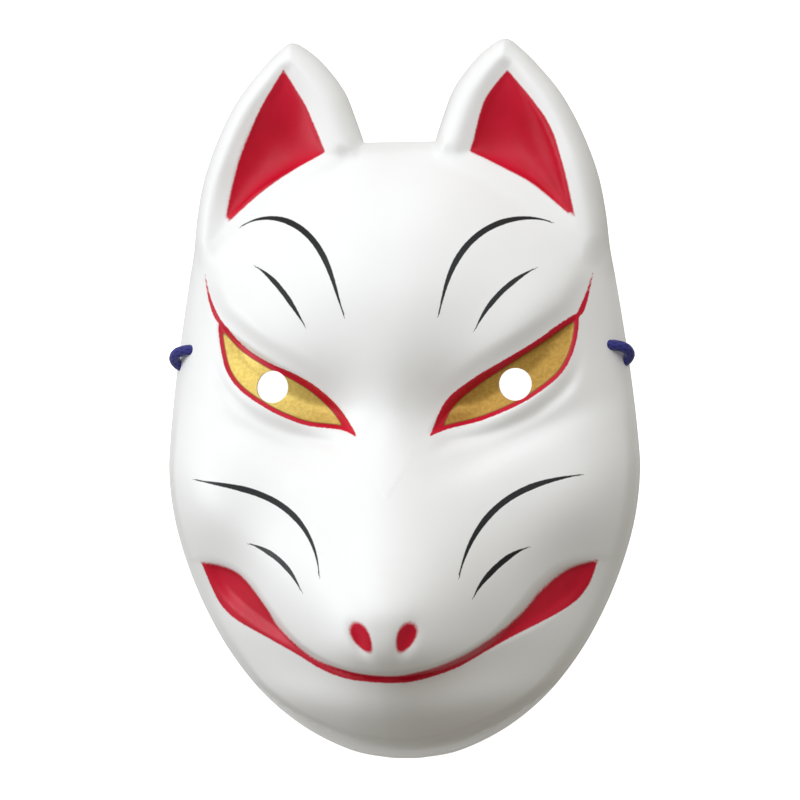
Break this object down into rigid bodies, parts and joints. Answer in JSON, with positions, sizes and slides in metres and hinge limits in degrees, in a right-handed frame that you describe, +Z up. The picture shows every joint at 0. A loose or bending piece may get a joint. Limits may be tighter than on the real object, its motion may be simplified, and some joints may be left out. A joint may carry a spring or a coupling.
{
  "type": "fox face mask",
  "caption": "White moulded fox face mask with two ears, a red mouth line, round eye holes and an elastic cord.",
  "frame": {"origin": "middle of the mask's outline, on the surface that the rim rests on", "axes": "+Z up, out of the face; +Y towards the ears; +X towards the viewer's right when the face is seen from above"},
  "size_m": [0.158, 0.2398, 0.0714],
  "materials": {
    "shell_finish": "smooth white paint with a soft gloss, red, gold and black brushwork",
    "cord_finish": "braided round elastic, royal blue"
  },
  "bodies": {
    "root": {"mask_shell": "shell_finish", "elastic_cord": "cord_finish", "cord_knot_left": "cord_finish", "cord_knot_right": "cord_finish"}
  },
  "joints": []
}
